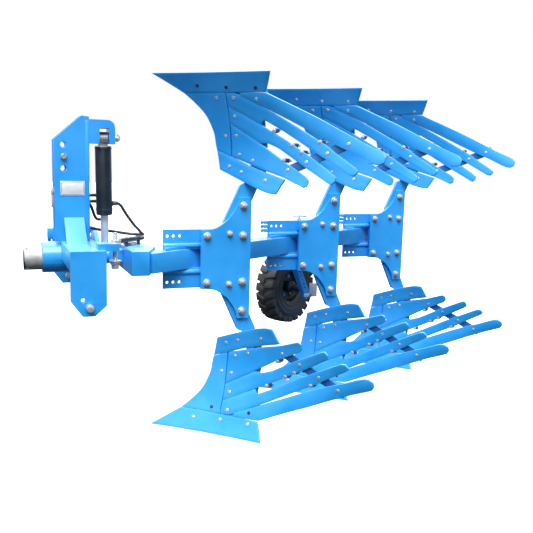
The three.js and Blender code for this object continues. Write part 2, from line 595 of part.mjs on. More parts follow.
// Depth wheel: arm and wheel are placed in the beam's frame
const beam = place(plough, 0, BEAM_Y0, 0);
beam.rotation.z = beamYaw;
const armLength = Math.hypot(WHEEL_HUB.x - WHEEL_PIVOT.x, WHEEL_HUB.z - WHEEL_PIVOT.z);
const armAt = place(beam, WHEEL_PIVOT.x, 0, WHEEL_PIVOT.z);
armAt.rotation.y = Math.atan2(WHEEL_PIVOT.z - WHEEL_HUB.z, WHEEL_HUB.x - WHEEL_PIVOT.x);
const armHoles = Array.from({ length: ARM.holes }, (_, i) => ARM.first + i * ARM.pitch);
const arm = join(
  cut(
    box([-ARM.head, armLength + ARM.tail], ARM.y, [-ARM.w / 2, ARM.w / 2]),
    rodY(WHEEL_PIVOT.r + TURN_GAP, nudge(ARM.y, BEAM_WALL), 0, 0),
    ...armHoles.map((x) => rodY(ARM.hole, nudge(ARM.y, BEAM_WALL), x, 0, 12)),
  ),
  rodY(AXLE.r, AXLE.y, armLength, 0),
);
piece(armAt, 'wheel_arm', arm, PAINT);
const hub = place(beam, WHEEL_HUB.x, WHEEL_HUB.y, WHEEL_HUB.z);
piece(hub, 'wheel_rim', solid(ring(RIM_PROFILE, 32)), BLACK);
piece(hub, 'wheel_tyre', solid(ring(TYRE_PROFILE, 36)), RUBBER);

// Hoses, each one continuous tube along its route
function hose(points) {
  const curve = new THREE.CatmullRomCurve3(points.map((p) => new THREE.Vector3(...p)));
  const corners = Array.from({ length: HOSE_SIDES }, (_, i) => {
    const turn = 4 * QUARTER * i / HOSE_SIDES;
    return [HOSE_R * Math.cos(turn), HOSE_R * Math.sin(turn)];
  });
  const steps = Math.ceil(curve.getLength() / (HOSE_R * 4));
  return new THREE.ExtrudeGeometry(outline(corners), { steps, bevelEnabled: false, extrudePath: curve });
}
piece(plough, 'long_hose', solid(hose(HOSE_LONG)), RUBBER);
piece(plough, 'short_hose', solid(hose(HOSE_SHORT)), RUBBER);

// The origin is the middle of the bounding box in plan, on the floor
const bounds = new THREE.Box3().setFromObject(plough, true);
const centre = bounds.getCenter(new THREE.Vector3());
plough.position.set(-centre.x, -centre.y, -bounds.min.z);
const group = new THREE.Group();
group.name = 'reversible_plough';
group.add(plough);

export default group;
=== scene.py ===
import json
import math

import bpy
from mathutils import Matrix, Vector

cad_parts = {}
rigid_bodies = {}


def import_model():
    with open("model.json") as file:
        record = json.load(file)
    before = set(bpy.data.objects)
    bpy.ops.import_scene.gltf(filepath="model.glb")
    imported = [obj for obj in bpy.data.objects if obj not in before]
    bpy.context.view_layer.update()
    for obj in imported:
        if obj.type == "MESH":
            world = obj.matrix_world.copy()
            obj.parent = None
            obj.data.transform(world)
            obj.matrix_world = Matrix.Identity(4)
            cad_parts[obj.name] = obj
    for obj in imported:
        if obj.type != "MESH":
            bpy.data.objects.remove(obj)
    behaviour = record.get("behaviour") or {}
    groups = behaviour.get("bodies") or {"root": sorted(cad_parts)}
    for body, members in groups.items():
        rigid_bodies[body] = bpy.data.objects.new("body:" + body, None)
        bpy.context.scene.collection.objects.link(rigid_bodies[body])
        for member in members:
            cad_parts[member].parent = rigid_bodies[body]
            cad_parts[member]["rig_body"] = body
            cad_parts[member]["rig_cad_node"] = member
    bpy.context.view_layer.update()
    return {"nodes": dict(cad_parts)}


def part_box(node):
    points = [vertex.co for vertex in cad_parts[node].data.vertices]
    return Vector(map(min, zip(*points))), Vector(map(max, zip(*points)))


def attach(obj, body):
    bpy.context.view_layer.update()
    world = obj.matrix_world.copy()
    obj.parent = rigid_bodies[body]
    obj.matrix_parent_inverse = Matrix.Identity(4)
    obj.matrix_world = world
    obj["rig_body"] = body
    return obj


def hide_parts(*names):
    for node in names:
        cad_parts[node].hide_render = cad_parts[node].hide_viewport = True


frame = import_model()

# Camera: at a standing viewer's eye height, about three metres in front of the near side.
# Places are in millimetres from the front station: x back from the rear bolt line of its
# clamp plate, y across from the plate's near face, z up from the middle of the beam.
MM = 0.001
PLATE_REAR = 41
AZIMUTH = math.radians(21.663)
ELEVATION = math.radians(8.69)
ROLL = math.radians(-1.574)
LENS = 47.955
SENSOR = 36
CLIP_END = 50
plate_low, plate_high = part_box("front_clamp_plate")
DATUM = Vector((plate_high.x - PLATE_REAR * MM, plate_low.y, (plate_low.z + plate_high.z) / 2))


def at(x, y, z):
    """The point of the shared frame for a place given from the front station."""
    return DATUM + Vector((x, y, z)) * MM


EYE = at(-1114, -3115, 471)
ahead = Vector((
    math.sin(AZIMUTH) * math.cos(ELEVATION),
    math.cos(AZIMUTH) * math.cos(ELEVATION),
    -math.sin(ELEVATION),
))
right = Vector((math.cos(AZIMUTH), -math.sin(AZIMUTH), 0))
down = ahead.cross(right)
turned_right = math.cos(ROLL) * right + math.sin(ROLL) * down
turned_down = -math.sin(ROLL) * right + math.cos(ROLL) * down
bpy.ops.object.camera_add()
camera = bpy.context.object
camera.name = "photo_camera"
camera.data.lens = LENS
camera.data.sensor_width = SENSOR
camera.data.clip_end = CLIP_END
axes = Matrix((turned_right, -turned_down, -ahead)).transposed().to_4x4()
camera.matrix_world = Matrix.Translation(EYE) @ axes
bpy.context.scene.camera = camera

# Hoses: two black rubber hydraulic hoses of the turnover cylinder, with a woven steel
# layer inside. One leaves the port near the gland, is led over the head of the beam
# and back; the other hangs in a loop behind the rod. Both end on the crossbeam.
HOSE_DIAMETER = 14
HOSE_STEPS = 6
HOSE_ROUNDING = 4
LONG_HOSE = [
    (-568.6, 186.5, 246.1), (-560.6, 186.5, 246.3), (-550.7, 186.6, 245), (-541.6, 187, 240.9),
    (-534, 187.5, 234.6), (-528, 188.3, 226), (-511, 190, 198), (-490, 190, 168), (-470, 188, 141),
    (-456, 187, 127), (-439.1, 194.9, 107.4), (-425.5, 215.9, 97), (-426.8, 251.5, 92.5),
    (-454.1, 275.3, 92), (-495, 285, 96), (-540, 287, 103), (-584, 287, 110), (-620, 286, 115),
    (-652, 290, 122), (-678, 301, 127), (-701, 313, 126), (-722, 324, 117), (-734, 331, 106),
    (-738, 333.5, 94), (-738, 333.5, 85.3),
]
SHORT_HOSE = [
    (-610.2, 225.7, 230.2), (-610.2, 233.6, 231.2), (-607.5, 245, 229.5), (-603, 256.5, 222),
    (-598, 265.5, 209), (-596, 270, 194), (-600, 268.5, 180), (-610, 262, 169.5), (-624, 252, 166),
    (-638, 242, 171), (-648.5, 234, 187), (-656, 230, 208), (-664, 233, 230), (-678, 243, 250),
    (-697, 262, 262), (-718, 284, 262), (-736, 306, 248), (-748, 324, 226), (-754, 336, 198),
    (-756, 342, 165), (-756, 343, 125), (-756, 343, 85.3),
]
CLOUD_DETAIL = 5
DIRT_DETAIL = 8
GRAIN_DETAIL = 3
CLOUD_EDGES = (0.36, 0.64)
DIRT_EDGE = 0.1
# Painted highlight: faces turned up between these slopes take a paler colour.
TOP_SHEEN_FACING = (0.62, 0.95)
GLOSS_EDGES = (0.3, 0.7)
COAT_ROUGHNESS = 0.08
GRAIN_HEIGHT = 0.0005


def finish(name, low, high, rough, *, metal=0.0, coat=0.0, cloud=5.0, grain=700.0, depth=0.15,
           spread=0.06, dirt=None, top_sheen=None):
    """A procedural finish: two tones in soft clouds, uneven gloss and a fine raised grain.

    Dirt is given as its colour, scale and rarity. The top sheen is a painted highlight,
    given as its colour and amount, and it lightens the faces turned up.
    """
    material = bpy.data.materials.new(name)
    material.use_nodes = True
    nodes = material.node_tree.nodes
    links = material.node_tree.links
    shader = nodes["Principled BSDF"]
    shader.inputs["Metallic"].default_value = metal
    shader.inputs["Coat Weight"].default_value = coat
    shader.inputs["Coat Roughness"].default_value = COAT_ROUGHNESS
    where = nodes.new("ShaderNodeTexCoord")

    def noise(scale, detail):
        texture = nodes.new("ShaderNodeTexNoise")
        texture.inputs["Scale"].default_value = scale
        texture.inputs["Detail"].default_value = detail
        links.new(where.outputs["Object"], texture.inputs["Vector"])
        return texture.outputs["Fac"]

    def tones(value, edges, colours):
        ramp = nodes.new("ShaderNodeValToRGB")
        for element, edge, colour in zip(ramp.color_ramp.elements, edges, colours):
            element.position = edge
            element.color = (*colour, 1)
        links.new(value, ramp.inputs["Fac"])
        return ramp.outputs["Color"]

    def spread_over(value, edges, levels):
        span = nodes.new("ShaderNodeMapRange")
        span.inputs["From Min"].default_value = edges[0]
        span.inputs["From Max"].default_value = edges[1]
        span.inputs["To Min"].default_value = levels[0]
        span.inputs["To Max"].default_value = levels[1]
        links.new(value, span.inputs["Value"])
        return span.outputs["Result"]

    def laid_over(ground, share, top):
        mix = nodes.new("ShaderNodeMix")
        mix.data_type = "RGBA"
        mix.inputs["B"].default_value = (*top, 1)
        links.new(share, mix.inputs["Factor"])
        links.new(ground, mix.inputs["A"])
        return mix.outputs["Result"]

    clouds = noise(cloud, CLOUD_DETAIL)
    colour = tones(clouds, CLOUD_EDGES, (low, high))
    if dirt:
        dirt_colour, dirt_scale, rarity = dirt
        specks = noise(dirt_scale, DIRT_DETAIL)
        spots = tones(specks, (rarity, rarity + DIRT_EDGE), ((0, 0, 0), (1, 1, 1)))
        colour = laid_over(colour, spots, dirt_colour)
    # Painted highlight: a paler colour laid on the faces turned up, for light falling from above.
    if top_sheen:
        sheen_colour, amount = top_sheen
        facing = nodes.new("ShaderNodeSeparateXYZ")
        links.new(where.outputs["Normal"], facing.inputs["Vector"])
        sheen_share = spread_over(facing.outputs["Z"], TOP_SHEEN_FACING, (0, amount))
        colour = laid_over(colour, sheen_share, sheen_colour)
    links.new(colour, shader.inputs["Base Color"])
    gloss = spread_over(clouds, GLOSS_EDGES, (rough - spread, rough + spread))
    links.new(gloss, shader.inputs["Roughness"])
    bump = nodes.new("ShaderNodeBump")
    bump.inputs["Strength"].default_value = depth
    bump.inputs["Distance"].default_value = GRAIN_HEIGHT
    links.new(noise(grain, GRAIN_DETAIL), bump.inputs["Height"])
    links.new(bump.outputs["Normal"], shader.inputs["Normal"])
    return material


def through(points, steps):
    """A smooth line through the points, with this many steps from each to the next."""
    line = []
    padded = [2 * points[0] - points[1], *points, 2 * points[-1] - points[-2]]
    for before, start, end, after in zip(padded, padded[1:], padded[2:], padded[3:]):
        for step in range(steps):
            t = step / steps
            line.append(0.5 * (
                2 * start + (end - before) * t
                + (2 * before - 5 * start + 4 * end - after) * t ** 2
                + (3 * start - before - 3 * end + after) * t ** 3
            ))
    return [*line, points[-1]]


def hose(name, points, replaced):
    """One hose: a round curve along its route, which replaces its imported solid."""
    path = through([at(*point) for point in points], HOSE_STEPS)
    data = bpy.data.curves.new(name, "CURVE")
    data.dimensions = "3D"
    spline = data.splines.new("POLY")
    spline.points.add(len(path) - 1)
    for place, point in zip(spline.points, path):
        place.co = (*point, 1)
    data.bevel_depth = HOSE_DIAMETER / 2 * MM
    data.bevel_resolution = HOSE_ROUNDING
    data.use_fill_caps = True
    piece = bpy.data.objects.new(name, data)
    bpy.context.scene.collection.objects.link(piece)
    data.materials.append(HOSE_RUBBER)
    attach(piece, "headstock")
    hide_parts(replaced)


HOSE_RUBBER = finish("hose_rubber", (0.014, 0.014, 0.016), (0.034, 0.035, 0.038), 0.27, coat=0.3,
                     cloud=60, grain=500, depth=0.4)
hose("cylinder_hose_long", LONG_HOSE, "long_hose")
hose("cylinder_hose_short", SHORT_HOSE, "short_hose")

# Plough bodies: boron steel sheets pressed to one curved surface and sprayed with blue
# enamel. On the surface, a runs along the board and z is the height under the beam; its
# depth is a polynomial in both, and the upper bodies mirror the lower ones.
SKIN_YAW = math.radians(-54)
SKIN_SPAN = 500
SKIN_MID = 600
SKIN_DEPTHS = [
    [4.3, -120.3, 190.6, -6.6, 4.3],
    [-10.7, 125.3, -19.0, 2.8],
    [23.9, -15.2, 2.5],
    [-13.6],
]
EDGE_Z = -842
SEAM = 0.5
SHEET = 9
SHEET_EDGE = 1.4
OUTLINE_STEPS = 8
DOUBLED = 0.00002
SMOOTH = math.radians(35)
STATIONS = ("front", "middle", "rear")
STATION_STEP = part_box("middle_clamp_plate")[0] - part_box("front_clamp_plate")[0]
ALONG = Vector((math.cos(SKIN_YAW), math.sin(SKIN_YAW), 0))
OUTWARD = Vector((math.sin(SKIN_YAW), -math.cos(SKIN_YAW), 0))
# The blue enamel carries a paler painted highlight on its faces turned up.
BLUE = finish("blue_enamel", (0.018, 0.325, 0.84), (0.034, 0.375, 0.92), 0.36, coat=0.45,
              cloud=7, grain=420, depth=0.12, spread=0.05, top_sheen=((0.3, 0.64, 0.86), 0.5))


def skin(a, z, off=0):
    """A place on the pressed surface, or off it by a distance to the front."""
    def flat(run, height):
        share = run / SKIN_SPAN
        drop = (height + SKIN_MID) / SKIN_SPAN
        depth = sum(
            value * share ** i * drop ** j
            for i, row in enumerate(SKIN_DEPTHS) for j, value in enumerate(row)
        )
        return run * ALONG + depth * OUTWARD + Vector((0, 0, height))
    place = flat(a, z)
    normal = (flat(a + 1, z) - place).cross(flat(a, z + 1) - place).normalized()
    if normal.dot(OUTWARD) < 0:
        normal.negate()
    return place + normal * off, normal


def even(line, count, rounded):
    """The line cut into equal runs, after rounding it through its points."""
    points = [Vector((a, z, 0)) for a, z in line]
    if rounded:
        points = through(points, OUTLINE_STEPS)
    runs = [(q - p).length for p, q in zip(points, points[1:])]
    found = []
    for k in range(count):
        rest = sum(runs) * k / (count - 1)
        i = 0
        while i < len(runs) - 1 and rest > runs[i]:
            rest -= runs[i]
            i += 1
        found.append(points[i].lerp(points[i + 1], min(1, rest / runs[i])))
    return found


def pick(model):
    """Selects the model alone, so that the next step acts on nothing else."""
    bpy.ops.object.select_all(action="DESELECT")
    model.select_set(True)
    bpy.context.view_layer.objects.active = model


def clean(model):
    """Merges doubled points, turns the faces out and shades gentle angles smooth."""
    pick(model)
    bpy.ops.object.mode_set(mode="EDIT")
    bpy.ops.mesh.select_all(action="SELECT")
    bpy.ops.mesh.remove_doubles(threshold=DOUBLED)
    bpy.ops.mesh.normals_make_consistent(inside=False)
    bpy.ops.object.mode_set(mode="OBJECT")
    bpy.ops.object.shade_smooth_by_angle(angle=SMOOTH)


def apply(model, kind, **values):
    """Adds one modifier to the model and applies it."""
    pick(model)
    modifier = model.modifiers.new(kind.lower(), kind)
    for key, value in values.items():
        setattr(modifier, key, value)
    bpy.ops.object.modifier_apply(modifier=modifier.name)


def round_edges(model, width, angle=50, segments=2):
    """Rounds the edges that turn by more than this many degrees."""
    apply(model, "BEVEL", width=width * MM, segments=segments, limit_method="ANGLE",
          angle_limit=math.radians(angle))


def joined(models):
    """One object made of the models, which all sit at the origin."""
    pick(models[0])
    for model in models:
        model.select_set(True)
    if len(models) > 1:
        bpy.ops.object.join()
    return models[0]


def painted(model, material):
    """Gives the model this one finish."""
    model.data.materials.clear()
    model.data.materials.append(material)
    return model


def sheet_metal(low, top, thickness, front=0, run=22, edge_share=1.0, rounded=True):
    """A pressed sheet between two outlines, laid as a grid on the surface and given its wall."""
    low = [(u * SKIN_SPAN, v * EDGE_Z) for u, v in low]
    top = [(u * SKIN_SPAN, v * EDGE_Z) for u, v in top]
    reach = max(math.dist(line[0], line[-1]) for line in (low, top))
    height = max(math.dist(low[0], top[0]), math.dist(low[-1], top[-1]))
    columns = max(4, round(reach / run))
    rows = max(2, round(height / run))
    lows = even(low, columns + 1, rounded)
    tops = even(top, columns + 1, rounded)
    bpy.ops.mesh.primitive_grid_add(x_subdivisions=columns, y_subdivisions=rows, size=1)
    model = bpy.context.object
    wall = model.vertex_groups.new(name="wall")
    for vertex in model.data.vertices:
        i = round((vertex.co.x + 0.5) * columns)
        t = vertex.co.y + 0.5
        start, end = lows[i], tops[i]
        gap = SEAM / max(1, (end - start).length)
        t_seam = gap + t * (1 - 2 * gap)
        spot = start.lerp(end, t_seam)
        inner = lows[1].lerp(tops[1], t_seam) if i == 0 else lows[-2].lerp(tops[-2], t_seam)
        if i in (0, columns) and (inner - spot).length > SEAM:
            spot += (inner - spot).normalized() * SEAM
        vertex.co = at(*skin(spot.x, spot.y, front)[0])
        wall.add([vertex.index], edge_share + (1 - edge_share) * min(1, 2 * t), "REPLACE")
    if model.data.polygons[0].normal.dot(skin(0, -SKIN_MID)[1]) < 0:
        model.data.flip_normals()
    apply(model, "SOLIDIFY", thickness=thickness * MM, offset=-1, vertex_group="wall",
          thickness_vertex_group=0.0, use_even_offset=True)
    model.vertex_groups.clear()
    round_edges(model, SHEET_EDGE)
    clean(model)
    return model


def copied(model, matrix=Matrix.Identity(4)):
    """A copy of the model with a mesh of its own, moved by the matrix."""
    piece = model.copy()
    piece.data = model.data.copy()
    piece.data.transform(matrix)
    bpy.context.scene.collection.objects.link(piece)
    return piece


def on_stations(model, part, sides=("lower", "upper"), replaced=None):
    """Copies a front lower piece to every station, and its mirror image above the beam."""
    mirror = Matrix.Translation(DATUM) @ Matrix.Scale(-1, 4, (0, 0, 1)) @ Matrix.Translation(-DATUM)
    made = []
    for index, station in enumerate(STATIONS):
        for side in sides:
            piece = copied(model)
            name = f"{station}_{side}_{part}" if len(sides) > 1 else f"{station}_{part}"
            piece.name = piece.data.name = name
            if side == "upper":
                piece.data.transform(mirror)
                piece.data.flip_normals()
            piece.data.transform(Matrix.Translation(STATION_STEP * index))
            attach(piece, "plough_frame")
            if replaced:
                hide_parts(f"{station}_{side}_{replaced}")
            made.append(piece)
    bpy.data.objects.remove(model)
    return made


# Shares: the wearing point and edge of each body, forged in boron steel and thinner
# towards the cut. They are bolted under the shin and the board.
SEAM_SHARE = 0.8979
SHARE_EDGE = 0.45
share = sheet_metal(
    [(-0.794, 1), (0.362, 1)], [(-0.556, SEAM_SHARE), (0.274, SEAM_SHARE)],
    SHEET, edge_share=SHARE_EDGE, rounded=False,
)
on_stations(painted(share, BLUE), "share_plate", replaced="share")

# Shins: the separate front edge of the board, a pressed sheet cut to a long hollow curve.
# It takes the wear of the first cut and unbolts on its own.
SHIN_RUN = 14
shin = sheet_metal(
    [(-0.556, SEAM_SHARE), (-0.486, 0.8539), (-0.45, 0.8278), (-0.418, 0.8029), (-0.388, 0.7696),
     (-0.366, 0.728), (-0.348, 0.6841), (-0.346, 0.6295), (-0.338, 0.595)],
    [(-0.134, SEAM_SHARE), (-0.146, 0.8551), (-0.148, 0.829), (-0.156, 0.747), (-0.168, 0.6805),
     (-0.178, 0.5618)],
    SHEET, run=SHIN_RUN,
)
on_stations(painted(shin, BLUE), "shin_plate", replaced="shin")

# Mouldboards: a top strip and four long slats with rounded tips, pressed from sheet steel
# and held together behind by two flat straps.
STRIP = (
    [(-0.338, 0.595), (-0.106, 0.5463), (0.114, 0.5012), (0.448, 0.4489)],
    [(-0.314, 0.4869), (-0.062, 0.4323), (0.168, 0.3872), (0.282, 0.3705), (0.368, 0.3682)],
)
SLATS = [
    ([(-0.152, 0.7387), (0.166, 0.6318), (0.432, 0.5392), (0.676, 0.4667), (0.7, 0.4513)],
     [(-0.162, 0.5582), (0.192, 0.4941), (0.448, 0.4561), (0.656, 0.4109), (0.694, 0.4204)]),
    ([(-0.142, 0.8278), (0.002, 0.7862), (0.188, 0.7304), (0.412, 0.6627), (0.734, 0.5582),
      (0.94, 0.4857), (0.97, 0.4715)],
     [(-0.152, 0.7387), (0.166, 0.6318), (0.224, 0.639), (0.346, 0.614), (0.616, 0.5249),
      (0.902, 0.4406), (0.934, 0.4311), (0.968, 0.4513)]),
    ([(-0.132, SEAM_SHARE), (-0.032, 0.8955), (0.16, 0.8397), (0.318, 0.7957), (0.534, 0.728),
      (0.85, 0.6283), (0.986, 0.5772), (1.144, 0.5226), (1.17, 0.5107)],
     [(-0.142, 0.8278), (0.188, 0.7304), (0.208, 0.7601), (0.406, 0.7007), (0.718, 0.5986),
      (1.12, 0.4774), (1.154, 0.4846), (1.17, 0.5)]),
    ([(0.01, SEAM_SHARE), (0.136, SEAM_SHARE), (0.272, 0.8955), (0.392, 0.8634), (0.752, 0.7696),
      (0.952, 0.7126), (1.188, 0.6473), (1.354, 0.6069), (1.392, 0.5962), (1.408, 0.5772)],
     [(0.01, 0.88), (0.16, 0.8397), (0.366, 0.785), (0.558, 0.7328), (0.776, 0.6734),
      (0.962, 0.6259), (1.11, 0.5926), (1.29, 0.5451), (1.346, 0.5368), (1.396, 0.5511)]),
]
STRAPS = [
    ([(0.12, 0.8729), (0.12, 0.4157)], [(0.21, 0.8575), (0.21, 0.399)]),
    ([(0.408, 0.5119), (1.104, 0.6805)], [(0.44, 0.4644), (1.136, 0.633)]),
]
STRAP_THICKNESS = 8
# Painted shade: a darker copy of the blue enamel, for the straps and stay brackets that lie in
# shadow behind the slats.
SHADED_BLUE = finish("blue_enamel_painted_shade", (0.01, 0.11, 0.34), (0.016, 0.15, 0.42), 0.35, coat=0.2,
                   cloud=9, grain=420, depth=0.12)
boards = [painted(sheet_metal(*STRIP, SHEET), BLUE)]
for slat in SLATS:
    boards.append(painted(sheet_metal(*slat, SHEET, rounded=False), BLUE))
# The straps take the darker blue of painted shade.
for strap in STRAPS:
    bar = sheet_metal(*strap, STRAP_THICKNESS, front=-SHEET, rounded=False)
    boards.append(painted(bar, SHADED_BLUE))
on_stations(joined(boards), "slatted_board", replaced="mouldboard")

# Plough bolts: zinc plated, with flat round heads sunk in the sheets and hexagon nuts
# behind. Two per body, and the share bolts of the front upper body, are brown and dull.
ZINC = finish("white_zinc", (0.6, 0.63, 0.66), (0.82, 0.84, 0.86), 0.28, metal=0.65, cloud=90,
              grain=900, depth=0.2, spread=0.1, dirt=((0.5, 0.48, 0.42), 160, 0.68))
DULL = finish("dull_bolt", (0.035, 0.035, 0.045), (0.09, 0.07, 0.06), 0.55, metal=0.6, cloud=120,
              grain=900, depth=0.3)
SHARE_BOLTS = [(-197, -788), (-55, -779), (91, -775)]
DULL_BOLTS = [(-119, -734), (84, -728)]
BOARD_BOLTS = [
    (-99, -427), (-28, -403), (115, -370), (-110, -567), (-39, -482), (35, -457), (-52, -567),
    (235, -421), (-44, -655), (330, -457), (-32, -734), (431, -497), (529, -538),
]
BOLT_HEAD = 8.6
BOLT_PROUD = 1.6
NUT_HALF = 13
NUT_DEPTH = 12
BOLT_END = 6
FROG_THICKNESS = 15
FROG_END = 60
UPWARD = Vector((0, 0, 1))


def turned_to(axis):
    """The turn that lays an upright piece along the given axis."""
    return UPWARD.rotation_difference(axis).to_matrix().to_4x4()


def cylinder(radius, depth, sides, place, axis, bevel, top_share=1.0):
    """A turned piece with rounded ends: its middle at the place, its axis along the given one."""
    bpy.ops.object.select_all(action="DESELECT")
    bpy.ops.mesh.primitive_cylinder_add(vertices=sides, radius=radius * MM, depth=depth * MM)
    model = bpy.context.object
    for vertex in model.data.vertices:
        if vertex.co.z > 0:
            vertex.co.x *= top_share
            vertex.co.y *= top_share
    round_edges(model, bevel)
    model.data.transform(Matrix.Translation(place) @ turned_to(axis))
    bpy.ops.object.shade_smooth_by_angle(angle=SMOOTH)
    return model


def upright(radius, depth, sides, height, bevel, top_share=1.0):
    """A turned piece that stands upright over the origin, its middle at this height."""
    return cylinder(radius, depth, sides, UPWARD * height * MM, UPWARD, bevel, top_share)


def repeated(model, moves):
    """Copies of one model, one for each move, which take its place."""
    copies = [copied(model, move) for move in moves]
    bpy.data.objects.remove(model)
    return copies


def on_skin(places):
    """The moves that stand an upright piece on the surface at each of the places."""
    spots = [skin(a, z) for a, z in places]
    return [Matrix.Translation(at(*place)) @ turned_to(normal) for place, normal in spots]


def plough_bolt(grip):
    """One plough bolt: a low round head on the sheet, a nut and its end behind the grip."""
    return joined([
        upright(BOLT_HEAD, BOLT_PROUD * 1.5, 24, BOLT_PROUD / 2, bevel=0.7, top_share=0.9),
        upright(NUT_HALF, NUT_DEPTH, 6, -grip - NUT_DEPTH / 2, bevel=1.2),
        upright(BOLT_END, NUT_DEPTH, 16, -grip - NUT_DEPTH, bevel=1),
    ])


def bolt_set(places, material):
    """All the bolts of one body that share a finish, through the frog or through a strap."""
    in_frog = [place for place in places if place[0] < FROG_END]
    in_strap = [place for place in places if place[0] >= FROG_END]
    bolts = repeated(plough_bolt(SHEET + FROG_THICKNESS), on_skin(in_frog))
    bolts += repeated(plough_bolt(SHEET + STRAP_THICKNESS), on_skin(in_strap))
    return painted(joined(bolts), material)


on_stations(bolt_set(BOARD_BOLTS, ZINC), "board_bolts")
for piece in on_stations(bolt_set(DULL_BOLTS, DULL), "dull_bolts"):
    if "upper" in piece.name:
        painted(piece, ZINC)
for piece in on_stations(bolt_set(SHARE_BOLTS, ZINC), "share_bolts"):
    if piece.name == "front_upper_share_bolts":
        painted(piece, DULL)

# Board stays: threaded rods with nuts that brace the slats from the frog, seen through
# the gaps between them, with the short brackets that they pass through.
STAY_NUTS = [(154, -590), (301, -500), (207, -464), (390, -544), (252, -529)]
bracket = upright(13, 30, 4, -24, bevel=1.5)
rod = joined([upright(10, 9, 6, -3, bevel=1.2), upright(5, 62, 16, -30, bevel=1)])
brackets = joined(repeated(bracket, on_skin(STAY_NUTS)))
rods = joined(repeated(rod, on_skin(STAY_NUTS)))
# The stay brackets take the darker blue of painted shade.
on_stations(painted(brackets, SHADED_BLUE), "stay_brackets")
on_stations(painted(rods, ZINC), "stay_rods")

# Flat steel pieces: legs, frogs, clamp plates, carriers, hitch plates and the wheel arm
# are flame cut or folded from plate, welded and sprayed. Their edges are broken slightly.
NODES = frame["nodes"]
EDGE_BREAK = {
    "leg": 3, "frog": 2, "clamp_plate": 1.6, "beam_carrier": 2.5,
    "link_plate": 2, "mast_plate": 2, "wheel_arm": 2,
}
CORNER = 40


def break_edges(node, width):
    """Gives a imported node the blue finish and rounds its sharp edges."""
    piece = painted(NODES[node], BLUE)
    weld = piece.modifiers.new("weld", "WELD")
    weld.merge_threshold = DOUBLED
    bevel = piece.modifiers.new("edges", "BEVEL")
    bevel.width = width * MM
    bevel.segments = 2
    bevel.limit_method = "ANGLE"
    bevel.angle_limit = math.radians(CORNER)


for node in NODES:
    for ending, width in EDGE_BREAK.items():
        if node.endswith(ending):
            break_edges(node, width)

# Landsides: flat steel bars bolted to the foot of each frog, which slide along the furrow
# wall. The heel is cut short behind the share, with a slanted end.
LANDSIDE_END = 150
LANDSIDE_SLANT = 0.5
LANDSIDE_HEIGHT = 800
LANDSIDE_EDGE = 1.5
FLAT = math.radians(1)
SMOOTH_PACKED = math.radians(32)


def refine(node, body, material, width=0, segments=3, angle=CORNER):
    """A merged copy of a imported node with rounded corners, which stands for it."""
    piece = copied(NODES[node])
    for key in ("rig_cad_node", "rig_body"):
        if key in piece:
            del piece[key]
    piece.parent = None
    piece.name = piece.data.name = f"{node}_body"
    painted(piece, material)
    clean(piece)
    bpy.ops.object.mode_set(mode="EDIT")
    bpy.ops.mesh.select_all(action="SELECT")
    bpy.ops.mesh.dissolve_limited(angle_limit=FLAT)
    bpy.ops.object.mode_set(mode="OBJECT")
    if width:
        round_edges(piece, width, angle, segments)
    bpy.ops.object.shade_smooth_by_angle(angle=SMOOTH_PACKED)
    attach(piece, body)
    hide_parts(node)
    return piece


for index, station in enumerate(STATIONS):
    for side, up in (("lower", -1), ("upper", 1)):
        bar = refine(f"{station}_{side}_landside", "plough_frame", BLUE)
        bpy.ops.object.mode_set(mode="EDIT")
        bpy.ops.mesh.select_all(action="SELECT")
        bpy.ops.mesh.bisect(
            plane_co=at(LANDSIDE_END, 0, up * LANDSIDE_HEIGHT) + STATION_STEP * index,
            plane_no=(1, 0, up * LANDSIDE_SLANT), clear_outer=True, use_fill=True,
        )
        bpy.ops.object.mode_set(mode="OBJECT")
        round_edges(bar, LANDSIDE_EDGE, CORNER)

# Clamp bolts: eight zinc plated M24 bolts hold each clamp plate, leg and carrier together.
# Washer, nut and rounded bolt end stand proud of the near face, heads and washers behind.
CARRIER_BACK = 51
LEG_BACK = 38.7
CLAMP_BOLTS = (
    (0.93, CARRIER_BACK, [(-174, 109), (-174, -109), (0, 110), (0, -110)]),
    (0.74, CARRIER_BACK, [(-65, 119), (-65, -119)]),
    (0.93, LEG_BACK, [(0, 249), (0, -249)]),
)
WASHER = 3
NUT = 13
HEAD = 12
NEAR = Vector((0, -1, 0))


def moved(x, y, z):
    """The move by these distances."""
    return Matrix.Translation(Vector((x, y, z)) * MM)


def clamp_bolt(scale, back):
    """One clamp bolt through the front plate, with its back at this depth."""
    head_at = back + WASHER + HEAD / 2 * scale
    return joined([
        cylinder(20 * scale, WASHER, 32, at(0, -WASHER / 2, 0), NEAR, bevel=0.8),
        cylinder(18 * scale, NUT * scale, 6, at(0, -WASHER - NUT / 2 * scale, 0), NEAR, bevel=1.2),
        cylinder(9.5 * scale, 8, 24, at(0, -WASHER - NUT * scale - 3, 0), NEAR, bevel=1.5),
        cylinder(20 * scale, WASHER, 32, at(0, back + WASHER / 2, 0), NEAR, bevel=0.8),
        cylinder(17.5 * scale, HEAD * scale, 6, at(0, head_at, 0), NEAR, bevel=2),
    ])


bolts = []
for scale, back, places in CLAMP_BOLTS:
    bolts += repeated(clamp_bolt(scale, back), [moved(x, 0, z) for x, z in places])
on_stations(painted(joined(bolts), ZINC), "clamp_bolts", sides=("lower",))

# Carrier lips: the channels are folded from steel plate, and each web ends in a rolled
# lip beside the beam, which catches the light.
REARWARD = Vector((1, 0, 0))
LIP = 13
LIP_LENGTH = 178
lip = cylinder(LIP, LIP_LENGTH, 32, at(-281, 43, 0), REARWARD, bevel=3)
lips = joined(repeated(lip, [moved(0, 0, -62), moved(0, 0, 62)]))
on_stations(painted(lips, BLUE), "carrier_lips", sides=("lower",))

